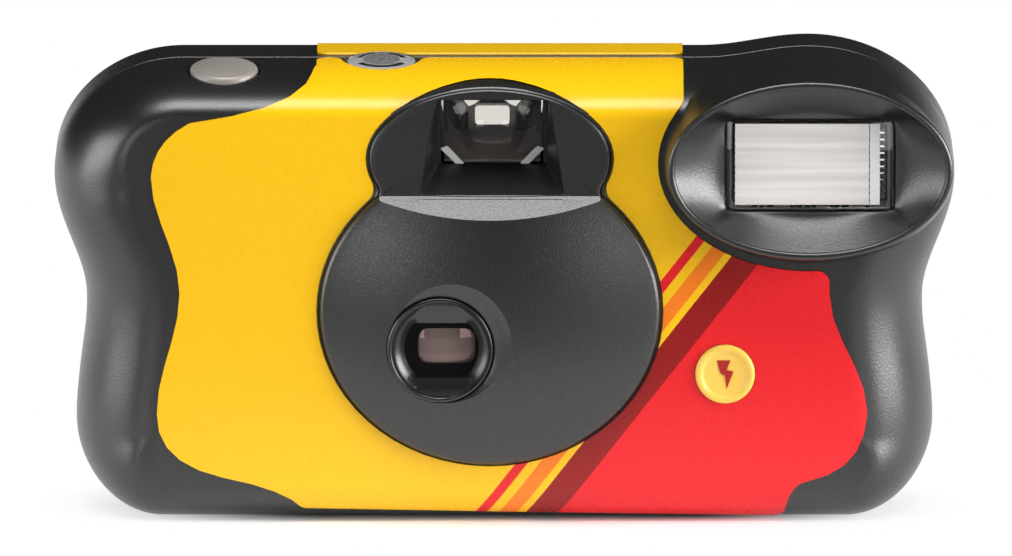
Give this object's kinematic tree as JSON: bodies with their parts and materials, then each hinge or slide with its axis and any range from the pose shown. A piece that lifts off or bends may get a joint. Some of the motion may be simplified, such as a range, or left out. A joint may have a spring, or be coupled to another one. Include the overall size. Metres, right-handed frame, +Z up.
{
  "type": "disposable film camera",
  "caption": "Single-use film camera with grained moulded covers, domed lens boss, viewfinder, flash, film winding, shutter mechanism and sprung shutter and flash buttons.",
  "frame": {"origin": "middle of the footprint, on the base", "axes": "+Z up, the lens looks along -Y, +X on the right of someone facing the lens"},
  "size_m": [0.118, 0.0364, 0.0605],
  "materials": {
    "black_plastic": "fine-grained moulded black",
    "label_print": "printed film label, satin gloss",
    "silver_plastic": "satin silver-grey moulding",
    "clear_plastic": "clear polished moulding",
    "coated_lens": "clear moulded lens with a warm sheen",
    "white_plastic": "natural white moulding",
    "printed_steel": "printed sheet steel",
    "film": "brown film base",
    "black_steel": "blackened sheet steel",
    "spring_steel": "bright drawn wire",
    "mirror_foil": "polished foil",
    "tube_glass": "clear glass",
    "board_laminate": "green laminate",
    "copper_winding": "varnished winding",
    "capacitor_can": "sleeved aluminium can",
    "battery_can": "plain jacket",
    "contact_strip": "plated sheet",
    "yellow_plastic": "yellow moulding",
    "amber_plastic": "clear amber moulding"
  },
  "bodies": {
    "camera_body": {"front_cover": "black_plastic", "back_cover": "black_plastic", "front_label": "label_print", "back_label": "label_print", "counter_window": "clear_plastic", "cartridge_shell": "printed_steel", "film_strip": "film", "chassis": "black_plastic", "viewfinder_lens": "clear_plastic", "eyepiece": "clear_plastic", "lens_retainer": "black_plastic", "taking_lens": "coated_lens", "shutter_plate": "black_plastic", "shutter_spring": "spring_steel", "drive_spring": "spring_steel", "release_leaf": "black_plastic", "flash_lens": "clear_plastic", "flash_reflector": "mirror_foil", "flash_tube": "tube_glass", "circuit_board": "board_laminate", "transformer": "copper_winding", "capacitor": "capacitor_can", "battery": "battery_can", "battery_contact_top": "contact_strip", "battery_contact_base": "contact_strip", "flash_switch_leaf": "contact_strip", "sync_leaf": "contact_strip", "ready_light": "amber_plastic"},
    "film_drive": {"thumbwheel": "black_plastic", "cartridge_spool": "black_plastic"},
    "film_sprocket": {"film_sprocket": "white_plastic"},
    "film_supply": {"supply_spool": "black_plastic", "film_roll": "film"},
    "frame_counter": {"counter_wheel": "white_plastic"},
    "shutter_button": {"shutter_button": "silver_plastic"},
    "flash_button": {"flash_button": "yellow_plastic"},
    "shutter_blade": {"shutter_blade": "black_steel"},
    "drive_lever": {"drive_lever": "white_plastic"},
    "metering_lever": {"metering_lever": "white_plastic"}
  },
  "joints": [
    {"name": "film_wind", "type": "hinge", "parent": "camera_body", "child": "film_drive", "pos_m": [-0.0375, 0.0035, 0.0489], "axis": [0, 0, 1], "continuous": true},
    {"name": "sprocket_turn", "type": "hinge", "parent": "camera_body", "child": "film_sprocket", "pos_m": [-0.017, 0.00935, 0.04], "axis": [0, 0, 1], "continuous": true},
    {"name": "supply_turn", "type": "hinge", "parent": "camera_body", "child": "film_supply", "pos_m": [0.022, 0.0064, 0.0235], "axis": [0, 0, 1], "continuous": true},
    {"name": "counter_turn", "type": "hinge", "parent": "camera_body", "child": "frame_counter", "pos_m": [-0.0175, 0.00085, 0.053], "axis": [0, 0, 1], "continuous": true},
    {"name": "shutter_press", "type": "slide", "parent": "camera_body", "child": "shutter_button", "axis": [0, 0, -1], "range_m": [0, 0.0012], "stiffness_N_per_m": 800, "springref_m": -0.0003},
    {"name": "flash_press", "type": "slide", "parent": "camera_body", "child": "flash_button", "axis": [0, 1, 0], "range_m": [0, 0.001], "stiffness_N_per_m": 600, "springref_m": -0.0003},
    {"name": "blade_swing", "type": "hinge", "parent": "camera_body", "child": "shutter_blade", "pos_m": [-0.0009, -0.00905, 0.031], "axis": [0, 1, 0], "range_deg": [0, 38], "stiffness_Nm_per_rad": 0.002, "springref_deg": -11.46},
    {"name": "drive_swing", "type": "hinge", "parent": "camera_body", "child": "drive_lever", "pos_m": [-0.0109, -0.0035, 0.043], "axis": [0, 0, 1], "range_deg": [0, 30], "stiffness_Nm_per_rad": 0.002, "springref_deg": -11.46},
    {"name": "metering_swing", "type": "hinge", "parent": "camera_body", "child": "metering_lever", "pos_m": [-0.0195, -0.0025, 0.043], "axis": [0, 0, 1], "range_deg": [0, 15], "stiffness_Nm_per_rad": 0.002, "springref_deg": -11.46}
  ],
  "couplings": [
    {"joint": "sprocket_turn", "follows": "film_wind", "ratio": 0.92594},
    {"joint": "supply_turn", "follows": "film_wind", "ratio": 0.62921},
    {"joint": "counter_turn", "follows": "film_wind", "ratio": -0.03086}
  ]
}
